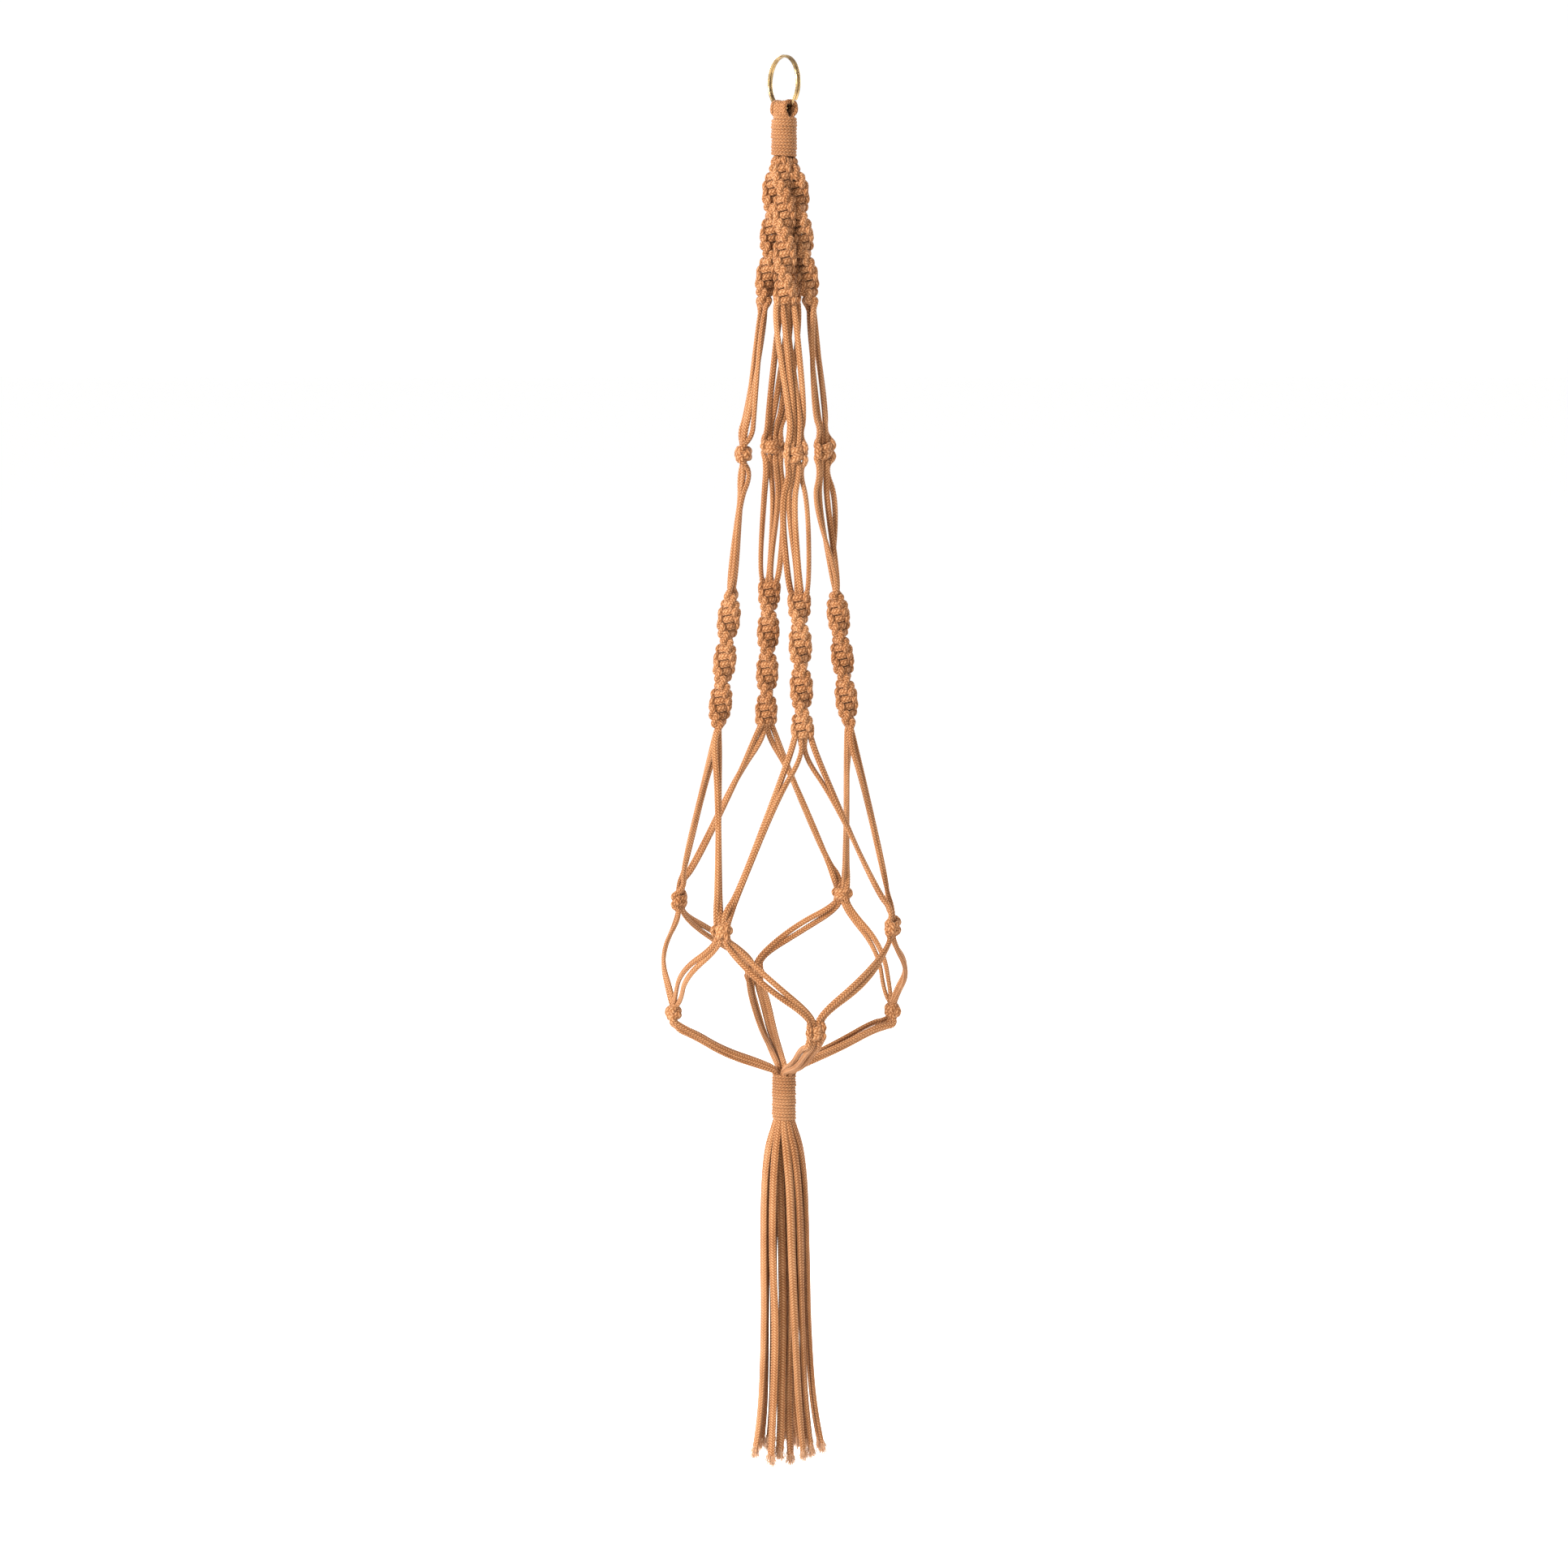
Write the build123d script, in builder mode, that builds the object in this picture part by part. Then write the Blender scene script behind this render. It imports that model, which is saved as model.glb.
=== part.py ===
from build123d import *
import os
from math import cos, pi, radians, sin, sqrt, tan

# A hanging macrame planter in braided cotton cord, in millimetres.
# The origin is the inner top of the ring, where the hook bears, and +Z is up.
# Eight cords folded over the ring make sixteen ends, in four arms of four.

os.makedirs("parts", exist_ok=True)

# Ring: a split ring of two turns of round wire, turned about the vertical.
ring_outer_diameter = 38.4
ring_wire = 1.9
ring_turn_pitch = 1.95
ring_yaw = 57.0
ring_jog_start = 42.0
ring_jog_angle = 30.0

# Cord and wrapping knots.
cord = 4.0
wrap_radius = 9.1
top_wrap_top = -40.0
top_wrap_bottom = -69.9
loop_clearance = 0.4
loop_thickness = 4.4
loop_bundle_radius = 9.4

# Arms: each stage has a radius, a turn from the row axes in degrees and a height.
arm_turn = 15.7
upper_top = (7.4, -10.0, -69.0)
upper_mid = (10.4, -8.0, -119.0)
upper_bottom = (17.0, -6.0, -171.0)
upper_lean = (0.2, 1.8, 2.4)
middle_knot_seat = (30.0, 16.0, -276.7)
lower_top = (39.5, arm_turn, -376.9)
lower_bottom = (49.7, arm_turn, -478.9)
cradle_seat = (89.8, arm_turn + 45.0, -615.7)
base_seat = (84.0, arm_turn, -687.6)
pot_bulge_radius = 91.6
pot_bulge_height = -651.0
gather_mid = (45.0, arm_turn, -719.5)
gather_height = -737.8

# How much higher each arm or knot hangs than its stage says.
arm_azimuths = {"right": 0.0, "back": 90.0, "left": 180.0, "front": 270.0}
upper_bottom_rise = {"right": -3.0, "back": 0.0, "left": 0.5, "front": -0.5}
middle_rise = {"right": 0.0, "back": 1.6, "left": -1.4, "front": 0.0}
lower_top_rise = {"right": -3.0, "back": 2.3, "left": -0.8, "front": 1.5}
lower_bottom_rise = {"right": -0.2, "back": -1.0, "left": 2.8, "front": -1.6}
base_rise = {"right": -8.0, "back": 7.6, "left": 1.0, "front": 1.6}
cradle_rise = {"right_back": -1.8, "left_back": 0.0, "left_front": 3.0, "right_front": -1.5}

# Going round from the right arm, each netting knot hangs between two arms.
arm_order = ["right", "back", "left", "front"]
cradle_order = ["right_back", "left_back", "left_front", "right_front"]

# Sizes of the soft solids.
sinnet_diameter = 10.2
sinnet_end = (18.0, 8.0, 7.0)
middle_knot_size = (17.6, 10.0, 14.0)
net_knot_size = (15.0, 10.0, 11.0)
knot_rounding = 3.2
seat_depth = 2.0

# Where the four ends sit across a sinnet and across a knot: tangential, outward.
sinnet_seats = [(-6.9, 0.0), (-2.3, 0.0), (2.3, 0.0), (6.9, 0.0)]
knot_seats = [(-5.6, -3.3), (-1.9, -1.1), (1.9, 1.1), (5.6, 3.3)]
net_seats = [(-5.4, -2.2), (-2.2, 1.6), (2.2, 1.6), (5.4, -2.2)]
gather_mid_seats = [(-5.1, -1.7), (-2.2, 1.9), (2.2, 1.9), (5.1, -1.7)]
gather_end_seats = [(-2.5, -2.4), (-2.5, 2.4), (2.5, 2.4), (2.5, -2.4)]
bulge_seats = [(-2.5, -1.6), (2.5, 1.6)]

# Bottom wrap and its two pivots.
wrap_pivot = gather_height
wrap_clearance_radius = 11.3
bottom_wrap_mouth = -775.8
mouth_chamfer = 2.5
gather_end_radius = 6.0

ring_radius = (ring_outer_diameter - ring_wire) / 2
ring_centre = -(ring_radius - ring_wire / 2)
ring_bottom = ring_centre - ring_radius
ring_tangent = (cos(radians(ring_yaw)), -sin(radians(ring_yaw)), 0)
ring_axis = (sin(radians(ring_yaw)), cos(radians(ring_yaw)), 0)

# Routes of the sixteen free ends, from under the wrap to the frayed tip.
tassel_routes = [
    [(-7.3, -4.2, -780.5), (-11.6, -6.0, -796), (-14.4, -7.0, -826), (-15.0, -7.8, -876),
     (-14.6, -8.2, -928), (-16.6, -7.6, -980), (-19.0, -7.4, -1012), (-21.6, -7.0, -1034)],
    [(-4.2, -7.3, -780.5), (-6.6, -11.3, -796), (-8.4, -12.8, -826), (-8.8, -13.4, -876),
     (-6.2, -13.0, -928), (-7.4, -12.6, -980), (-8.8, -12.8, -1012), (-9.6, -13.0, -1038)],
    [(0.0, -8.4, -780.5), (2.2, -12.8, -796), (4.6, -14.6, -826), (5.8, -15.0, -876),
     (8.2, -14.4, -928), (10.4, -13.6, -980), (12.8, -13.4, -1012), (14.4, -12.8, -1034)],
    [(4.2, -7.3, -780.5), (8.0, -10.4, -796), (11.2, -11.0, -826), (12.2, -10.6, -876),
     (13.6, -9.4, -928), (15.6, -8.8, -980), (18.6, -8.0, -1012), (20.4, -7.8, -1033)],
    [(7.3, -4.2, -780.5), (12.6, -5.2, -796), (16.2, -5.0, -826), (17.6, -4.2, -876),
     (18.6, -3.8, -928), (21.4, -3.2, -980), (25.6, -2.6, -1012), (28.6, -2.0, -1032)],
    [(8.4, 0.0, -780.5), (13.2, 1.2, -796), (16.4, 2.2, -826), (17.4, 3.4, -876),
     (17.2, 4.6, -928), (19.6, 5.4, -980), (23.4, 6.2, -1012), (26.8, 7.0, -1034)],
    [(7.3, 4.2, -780.5), (10.8, 7.6, -796), (12.6, 9.8, -826), (12.8, 10.8, -876),
     (13.6, 11.4, -928), (15.0, 12.4, -980), (16.6, 13.4, -1012), (17.8, 14.6, -1035)],
    [(4.2, 7.3, -780.5), (5.8, 11.6, -796), (7.0, 14.2, -826), (8.4, 15.0, -876),
     (8.8, 15.8, -928), (8.0, 16.8, -980), (8.6, 18.2, -1012), (9.6, 19.4, -1036)],
    [(0.0, 8.4, -780.5), (0.0, 13.2, -796), (0.4, 15.4, -826), (-0.4, 16.4, -876),
     (0.4, 17.0, -928), (1.0, 18.6, -980), (0.6, 20.2, -1012), (-0.6, 21.4, -1033)],
    [(-4.2, 7.3, -780.5), (-5.8, 11.6, -796), (-7.4, 13.6, -826), (-8.4, 14.2, -876),
     (-7.6, 15.2, -928), (-8.2, 16.8, -980), (-9.0, 18.0, -1012), (-10.6, 19.0, -1036)],
    [(-7.3, 4.2, -780.5), (-11.2, 6.8, -796), (-13.4, 8.0, -826), (-13.0, 9.4, -876),
     (-13.8, 9.8, -928), (-14.2, 11.2, -980), (-15.4, 12.2, -1012), (-17.2, 13.2, -1035)],
    [(-8.4, 0.0, -780.5), (-13.0, 0.4, -796), (-15.6, 0.8, -826), (-16.2, 1.8, -876),
     (-15.4, 1.4, -928), (-16.8, 2.6, -980), (-18.2, 3.0, -1012), (-19.6, 4.2, -1033)],
    [(-2.2, -2.2, -780.5), (-3.0, -4.4, -796), (-2.6, -6.6, -826), (-1.6, -8.0, -876),
     (-0.8, -8.6, -928), (-2.0, -9.2, -980), (-2.4, -8.6, -1012), (-3.2, -8.0, -1036)],
    [(2.2, -2.2, -780.5), (4.2, -3.4, -796), (6.0, -3.6, -826), (6.6, -4.6, -876),
     (6.2, -5.6, -928), (4.4, -5.0, -980), (4.2, -4.0, -1012), (4.8, -3.4, -1041)],
    [(-2.2, 2.2, -780.5), (-4.2, 3.4, -796), (-6.2, 3.6, -826), (-7.2, 2.6, -876),
     (-7.8, 3.6, -928), (-7.2, 4.4, -980), (-8.6, 5.2, -1012), (-10.2, 5.4, -1034)],
    [(2.2, 2.2, -780.5), (3.4, 4.2, -796), (3.8, 6.4, -826), (4.8, 7.4, -876),
     (5.0, 6.8, -928), (6.2, 8.4, -980), (8.4, 9.0, -1012), (11.4, 9.6, -1033)],
]


def keep(builder, name):
    """Label a finished piece and write it."""
    builder.part.label = name
    export_step(builder.part, f"parts/{name}.step")


def arm_frame(azimuth, stage, rise=0.0, lean=0.0):
    """The plane at a stage of an arm: X runs round the planter, Y out from its axis, Z down."""
    radius, turn, height = stage
    angle = radians(azimuth + turn)
    origin = (radius * cos(angle) + lean, radius * sin(angle), height + rise)
    return Plane(origin=origin, x_dir=(-sin(angle), cos(angle), 0), z_dir=(0, 0, -1))


def on_frame(frame, seat, up=0.0):
    """A point at a (tangential, outward) seat, raised above the frame's origin."""
    tangential, outward = seat
    out_dir = frame.x_dir.cross(Vector(0, 0, 1))
    return frame.origin + frame.x_dir * tangential + out_dir * outward + Vector(0, 0, up)


def add_tube(points, diameter=cord):
    """A round cord through two points, straight, or through three, as one arc."""
    with BuildLine() as path:
        if len(points) == 2:
            Line(*points)
        else:
            ThreePointArc(*points)
    with BuildSketch(Plane(origin=path.line @ 0, z_dir=path.line % 0)) as section:
        Circle(diameter / 2)
    sweep(sections=section.sketch, path=path.line)


def add_slab(frame, size, rounding):
    """A rounded block centred on a frame: size is along X, outward and in height."""
    width, depth, height = size
    upright = Plane(origin=frame.origin, x_dir=frame.x_dir, z_dir=(0, 0, 1))
    with BuildSketch(upright.offset(-height / 2)) as outline:
        RectangleRounded(width, depth, rounding)
    extrude(to_extrude=outline.sketch, amount=height)


# Hanging ring: one turn, a jog across to the other plane, and a second turn.
ring_plane = Plane(origin=(0, 0, ring_centre), x_dir=ring_tangent, z_dir=ring_axis)
jog_end = ring_jog_start + ring_jog_angle


def ring_point(angle, across):
    """A point on the ring's centre line."""
    flat = (ring_radius * cos(radians(angle)), ring_radius * sin(radians(angle)), across)
    return ring_plane.from_local_coords(flat)


def ring_heading(angle):
    """The way the wire runs at an angle round the ring."""
    return ring_plane.x_dir * -sin(radians(angle)) + ring_plane.y_dir * cos(radians(angle))


half_pitch = ring_turn_pitch / 2
first_stop = ring_jog_start + 360
half_turn = (jog_end + first_stop) / 2
with BuildPart() as hanging_ring:
    with BuildLine() as ring_path:
        for side in (-half_pitch, half_pitch):
            for start, stop in ((jog_end, half_turn), (half_turn, first_stop)):
                ThreePointArc(
                    ring_point(start, side),
                    ring_point((start + stop) / 2, side),
                    ring_point(stop, side),
                )
        Spline(
            ring_point(ring_jog_start, -half_pitch),
            ring_point((ring_jog_start + jog_end) / 2, 0),
            ring_point(jog_end, half_pitch),
            tangents=(ring_heading(ring_jog_start), ring_heading(jog_end)),
        )
    with BuildSketch(Plane(origin=ring_point(jog_end, -half_pitch), z_dir=ring_heading(jog_end))):
        Circle(ring_wire / 2)
    sweep(path=ring_path.wires()[0])
keep(hanging_ring, "hanging_ring")

# Cord loops: a saddle over the ring, hollowed so that the ring tilts inside it.
loop_bore = ring_turn_pitch / 2 + ring_wire / 2 + loop_clearance
loop_plane = Plane(origin=(0, 0, ring_centre - ring_radius), x_dir=ring_tangent, z_dir=ring_axis)
with BuildPart() as cord_loops:
    with BuildSketch(loop_plane):
        with BuildLine():
            crown = loop_bore + loop_thickness
            reach = loop_bundle_radius + 2
            rise_at_reach = ring_radius - sqrt(ring_radius**2 - reach**2)
            flare = loop_bore + rise_at_reach
            ThreePointArc((-reach, flare), (0, loop_bore), (reach, flare))
            Polyline((reach, flare), (reach, crown), (-reach, crown), (-reach, flare))
        make_face()
    revolve(axis=Axis(loop_plane.origin, loop_plane.x_dir), revolution_arc=360)
    with BuildSketch(Plane.XY.offset(top_wrap_top)):
        Circle(loop_bundle_radius)
    extrude(amount=50, mode=Mode.INTERSECT)
    with BuildSketch(Plane.XY.offset(top_wrap_top)):
        Circle(wrap_radius)
    extrude(amount=ring_bottom - loop_bore - top_wrap_top)
keep(cord_loops, "cord_loops")

with BuildPart() as top_wrap:
    with BuildSketch(Plane.XY.offset(top_wrap_bottom)):
        Circle(wrap_radius)
    extrude(amount=top_wrap_top - top_wrap_bottom)
keep(top_wrap, "top_wrap")

# The four arms, each from its upper sinnet down to its part of the cradle.
for arm, azimuth in arm_azimuths.items():
    index = arm_order.index(arm)
    before = cradle_order[index - 1]
    after = cradle_order[index]
    top = arm_frame(azimuth, upper_top, 0, upper_lean[0])
    mid = arm_frame(azimuth, upper_mid, 0, upper_lean[1])
    bottom = arm_frame(azimuth, upper_bottom, upper_bottom_rise[arm], upper_lean[2])
    knot = arm_frame(azimuth, middle_knot_seat, middle_rise[arm])
    second_top = arm_frame(azimuth, lower_top, lower_top_rise[arm])
    second_bottom = arm_frame(azimuth, lower_bottom, lower_bottom_rise[arm])
    base = arm_frame(azimuth, base_seat, base_rise[arm])
    knot_before = arm_frame(azimuth - 90, cradle_seat, cradle_rise[before])
    knot_after = arm_frame(azimuth, cradle_seat, cradle_rise[after])

    with BuildPart() as upper_sinnet:
        add_tube([top.origin, mid.origin, bottom.origin], sinnet_diameter)
        centre = bottom.origin + Vector(0, 0, sinnet_end[2] / 2)
        add_slab(Plane(origin=centre, x_dir=bottom.x_dir, z_dir=bottom.z_dir), sinnet_end, knot_rounding)
    keep(upper_sinnet, f"upper_sinnet_{arm}")

    with BuildPart() as upper_strands:
        for high, low in zip(sinnet_seats, knot_seats):
            finish = on_frame(knot, low, middle_knot_size[2] / 2 - seat_depth)
            add_tube([on_frame(bottom, high, seat_depth), finish])
    keep(upper_strands, f"upper_strands_{arm}")

    with BuildPart() as middle_knot:
        add_slab(knot, middle_knot_size, knot_rounding)
    keep(middle_knot, f"middle_knot_{arm}")

    with BuildPart() as middle_strands:
        for high, low in zip(knot_seats, sinnet_seats):
            start = on_frame(knot, high, seat_depth - middle_knot_size[2] / 2)
            add_tube([start, on_frame(second_top, low, -seat_depth)])
    keep(middle_strands, f"middle_strands_{arm}")

    with BuildPart() as lower_sinnet:
        add_tube([second_top.origin, second_bottom.origin], sinnet_diameter)
        for frame, side in ((second_top, -1), (second_bottom, 1)):
            centre = frame.origin + Vector(0, 0, side * sinnet_end[2] / 2)
            add_slab(Plane(origin=centre, x_dir=frame.x_dir, z_dir=frame.z_dir), sinnet_end, knot_rounding)
    keep(lower_sinnet, f"lower_sinnet_{arm}")

    cradle_top = net_knot_size[2] / 2 - seat_depth
    with BuildPart() as cradle_strands:
        for high, side_knot, low in (
            (sinnet_seats[0], knot_before, net_seats[2]),
            (sinnet_seats[1], knot_before, net_seats[3]),
            (sinnet_seats[2], knot_after, net_seats[0]),
            (sinnet_seats[3], knot_after, net_seats[1]),
        ):
            add_tube([on_frame(second_bottom, high, seat_depth), on_frame(side_knot, low, cradle_top)])
    keep(cradle_strands, f"cradle_strands_{arm}")

    with BuildPart() as base_knot:
        add_slab(base, net_knot_size, knot_rounding)
    keep(base_knot, f"base_knot_{arm}")

    gather_end = (gather_end_radius, arm_turn, gather_height + gather_end_radius * tan(radians(26)))
    with BuildPart() as gather_strands:
        for high, through, low in zip(net_seats, gather_mid_seats, gather_end_seats):
            start = on_frame(base, high, -cradle_top)
            middle = on_frame(arm_frame(azimuth, gather_mid), (through[0], 0), -through[1])
            finish = on_frame(arm_frame(azimuth, gather_end), (low[0], 0), -low[1])
            add_tube([start, middle, finish])
        with Locations((0, 0, wrap_pivot)):
            Sphere(wrap_clearance_radius, mode=Mode.SUBTRACT)
    keep(gather_strands, f"gather_strands_{arm}")

# The upper row of netting knots and the four ends below each, bowed round the pot.
for index, name in enumerate(cradle_order):
    arm_before = arm_order[index]
    arm_after = arm_order[(index + 1) % 4]
    azimuth = arm_azimuths[arm_before]
    knot = arm_frame(azimuth, cradle_seat, cradle_rise[name])
    base_before = arm_frame(azimuth, base_seat, base_rise[arm_before])
    base_after = arm_frame(azimuth + 90, base_seat, base_rise[arm_after])

    with BuildPart() as cradle_knot:
        add_slab(knot, net_knot_size, knot_rounding)
    keep(cradle_knot, f"cradle_knot_{name}")

    with BuildPart() as net_strands:
        for high, base, low, turn, side in (
            (net_seats[0], base_before, net_seats[2], 22.5, 0),
            (net_seats[1], base_before, net_seats[3], 22.5, 1),
            (net_seats[2], base_after, net_seats[0], 67.5, 0),
            (net_seats[3], base_after, net_seats[1], 67.5, 1),
        ):
            lift = (cradle_rise[name] + (base.origin.Z - base_seat[2])) / 2
            bulge = arm_frame(azimuth, (pot_bulge_radius, arm_turn + turn, pot_bulge_height), lift)
            across, up = bulge_seats[side]
            slope = -1 if turn < 45 else 1
            add_tube([
                on_frame(knot, high, -cradle_top),
                on_frame(bulge, (across, 0), up * slope),
                on_frame(base, low, cradle_top),
            ])
    keep(net_strands, f"net_strands_{name}")

# Bottom wrap: domed about its upper pivot, so that it swings clear of the gathered ends.
with BuildPart() as bottom_wrap:
    with BuildSketch(Plane.XY.offset(bottom_wrap_mouth)):
        Circle(wrap_radius)
    extrude(amount=wrap_pivot - bottom_wrap_mouth)
    with Locations((0, 0, wrap_pivot)):
        Sphere(wrap_radius)
    chamfer(bottom_wrap.edges().group_by(Axis.Z)[0], mouth_chamfer)
keep(bottom_wrap, "bottom_wrap")


def corner_radii(points):
    """For each corner of a route, the largest arc that its two runs leave room for."""
    radii = []
    for before, corner, after in zip(points, points[1:], points[2:]):
        run_in = corner - before
        run_out = after - corner
        half_turn = radians(run_in.get_angle(run_out)) / 2
        radii.append(0.45 * min(run_in.length, run_out.length) / tan(half_turn))
    return radii


# Tassel: sixteen free ends, straight runs joined by tangent arcs.
for number, route in enumerate(tassel_routes, start=1):
    points = [Vector(*point) for point in route]
    radii = corner_radii(points)
    with BuildPart() as tassel_strand:
        with BuildLine() as path:
            FilletPolyline(*points, radius=radii)
        with BuildSketch(Plane(origin=path.line @ 0, z_dir=path.line % 0)):
            Circle(cord / 2)
        sweep(path=path.line)
    length = path.wires()[0].length
    section_area = pi * (cord / 2) ** 2
    print(
        f"strand {number:02d}: length {length:.1f} mm, radii {[round(radius) for radius in radii]} mm,",
        f"volume ratio {tassel_strand.part.volume / (section_area * length):.4f}",
    )
    keep(tassel_strand, f"tassel_strand_{number:02d}")
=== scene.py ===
"""A hanging macrame planter in braided cotton cord. Lengths are in millimetres until a mesh is made."""

from math import cos, pi, radians, sin, sqrt, tan

import bpy
import numpy as np
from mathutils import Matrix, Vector


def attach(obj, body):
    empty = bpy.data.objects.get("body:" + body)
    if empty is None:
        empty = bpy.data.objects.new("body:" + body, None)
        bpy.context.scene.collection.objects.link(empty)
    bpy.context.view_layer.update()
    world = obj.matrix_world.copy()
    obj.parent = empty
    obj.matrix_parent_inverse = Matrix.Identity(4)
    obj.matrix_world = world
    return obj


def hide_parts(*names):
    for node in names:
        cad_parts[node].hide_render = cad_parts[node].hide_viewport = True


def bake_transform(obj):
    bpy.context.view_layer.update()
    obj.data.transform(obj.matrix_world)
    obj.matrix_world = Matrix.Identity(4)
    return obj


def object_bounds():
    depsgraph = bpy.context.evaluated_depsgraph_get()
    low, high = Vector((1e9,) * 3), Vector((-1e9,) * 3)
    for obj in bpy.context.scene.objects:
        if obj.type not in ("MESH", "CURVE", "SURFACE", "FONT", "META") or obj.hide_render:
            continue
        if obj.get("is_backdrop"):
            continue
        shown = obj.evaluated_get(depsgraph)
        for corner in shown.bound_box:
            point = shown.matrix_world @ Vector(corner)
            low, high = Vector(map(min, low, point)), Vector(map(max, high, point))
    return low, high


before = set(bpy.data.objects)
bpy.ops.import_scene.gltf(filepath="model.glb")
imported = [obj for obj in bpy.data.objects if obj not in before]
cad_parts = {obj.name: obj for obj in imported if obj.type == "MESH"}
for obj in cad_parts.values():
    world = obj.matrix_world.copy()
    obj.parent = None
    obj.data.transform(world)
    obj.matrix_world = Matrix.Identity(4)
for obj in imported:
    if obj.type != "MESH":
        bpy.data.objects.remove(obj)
cad_low, cad_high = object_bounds()
rng = np.random.default_rng(7)

MM = 0.001
UP = np.array([0.0, 0.0, 1.0])

# Arms: each stage has a radius, a turn from the row axes in degrees and a height.
ARM_TURN = 15.7
UPPER_TOP = (7.4, -10.0, -69.0)
UPPER_MID = (10.4, -8.0, -119.0)
UPPER_BOTTOM = (17.0, -6.0, -171.0)
UPPER_LEAN = (0.2, 1.8, 2.4)
MIDDLE_KNOT_SEAT = (30.0, 16.0, -276.7)
LOWER_TOP = (39.5, ARM_TURN, -376.9)
LOWER_BOTTOM = (49.7, ARM_TURN, -478.9)
CRADLE_SEAT = (89.8, ARM_TURN + 45.0, -615.7)
BASE_SEAT = (84.0, ARM_TURN, -687.6)
POT_BULGE_RADIUS = 91.6
POT_BULGE_HEIGHT = -651.0
GATHER_HEIGHT = -737.8
BOTTOM_WRAP_MOUTH = -775.8
TOP_WRAP_TOP = -40.0
TOP_WRAP_BOTTOM = -69.9

ARM_AZIMUTHS = {"right": 0.0, "back": 90.0, "left": 180.0, "front": 270.0}
UPPER_BOTTOM_RISE = {"right": -3.0, "back": 0.0, "left": 0.5, "front": -0.5}
MIDDLE_RISE = {"right": 0.0, "back": 1.6, "left": -1.4, "front": 0.0}
LOWER_TOP_RISE = {"right": -3.0, "back": 2.3, "left": -0.8, "front": 1.5}
LOWER_BOTTOM_RISE = {"right": -0.2, "back": -1.0, "left": 2.8, "front": -1.6}
BASE_RISE = {"right": -8.0, "back": 7.6, "left": 1.0, "front": 1.6}
CRADLE_RISE = {"right_back": -1.8, "left_back": 0.0, "left_front": 3.0, "right_front": -1.5}
ARM_ORDER = ["right", "back", "left", "front"]
CRADLE_ORDER = ["right_back", "left_back", "left_front", "right_front"]

# How far each middle knot is turned from the tangent of its arm, in degrees.
MIDDLE_KNOT_TURN = {"right": 72.0, "back": 20.0, "left": 8.0, "front": 4.0}

# Cord.
CORD = 4.3
BRAID_YARNS = 6
BRAID_PITCH = 2.15
BRAID_RELIEF = 0.26
TAUT_WIDTH = 4.5
TAUT_THICKNESS = 3.3
SPACING = 0.6
SIDES = 22

# Ring.
RING_OUTER_DIAMETER = 38.4
RING_WIRE = 1.9
RING_TURN_PITCH = 1.95
RING_YAW = 57.0
RING_JOG_START = 42.0
RING_JOG_ANGLE = 30.0
RING_RADIUS = (RING_OUTER_DIAMETER - RING_WIRE) / 2
RING_CENTRE = -(RING_RADIUS - RING_WIRE / 2)
RING_BOTTOM = RING_CENTRE - RING_RADIUS
RING_TANGENT = np.array([cos(radians(RING_YAW)), -sin(radians(RING_YAW)), 0.0])
RING_AXIS = np.array([sin(radians(RING_YAW)), cos(radians(RING_YAW)), 0.0])

# Half-knot spirals: one bar every half-knot pitch, half a turn every half-turn drop.
HALF_KNOT = 5.4
UPPER_HALF_TURN = 29.5
UPPER_PHASE_HEIGHT = -77.3
LOWER_HALF_TURN = 30.8
LOWER_PHASE_HEIGHT = -384.0


# ---------------------------------------------------------------- camera
def add_camera():
    """A camera at the viewing height of the upper sinnets, looking slightly down at the middle."""
    data = bpy.data.cameras.new("camera")
    camera = bpy.data.objects.new("camera", data)
    bpy.context.collection.objects.link(camera)
    camera.location = (0.0, -2.208, -0.143)
    target = Vector((0.0, 0.0, (cad_low[2] + cad_high[2]) / 2))
    camera.rotation_euler = (target - camera.location).to_track_quat("-Z", "Y").to_euler()
    data.sensor_width = 36.0
    data.lens = 36.0 / (2 * tan(radians(28.8) / 2))
    bpy.context.scene.camera = camera


# ---------------------------------------------------------------- lines and tubes
def unit(vector):
    return vector / np.linalg.norm(vector)


def station(azimuth, stage, rise=0.0, lean=0.0, turn=0.0):
    """A place on an arm: its origin, the way round the planter, and the way out."""
    radius, stage_turn, height = stage
    angle = radians(azimuth + stage_turn)
    origin = np.array([radius * cos(angle) + lean, radius * sin(angle), height + rise])
    facing = angle - radians(turn)
    around = np.array([-sin(facing), cos(facing), 0.0])
    outward = np.array([cos(facing), sin(facing), 0.0])
    return origin, around, outward


def at(place, along, out, up=0.0):
    origin, around, outward = place
    return origin + around * along + outward * out + UP * up


def spline_points(controls, spacing=SPACING, order=3):
    """Points on the smooth NURBS line of a few control points."""
    data = bpy.data.curves.new("route", "CURVE")
    data.dimensions = "3D"
    spline = data.splines.new("NURBS")
    spline.points.add(len(controls) - 1)
    for point, place in zip(spline.points, controls):
        point.co = (*place, 1.0)
    spline.order_u = order
    spline.use_endpoint_u = True
    run = sum(np.linalg.norm(np.subtract(b, a)) for a, b in zip(controls, controls[1:]))
    spline.resolution_u = max(2, min(120, round(run / spacing / (len(controls) - 1))))
    holder = bpy.data.objects.new("route", data)
    mesh = bpy.data.meshes.new_from_object(holder)
    points = np.array([vertex.co for vertex in mesh.vertices])
    bpy.data.objects.remove(holder)
    bpy.data.curves.remove(data)
    bpy.data.meshes.remove(mesh)
    return points


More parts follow.
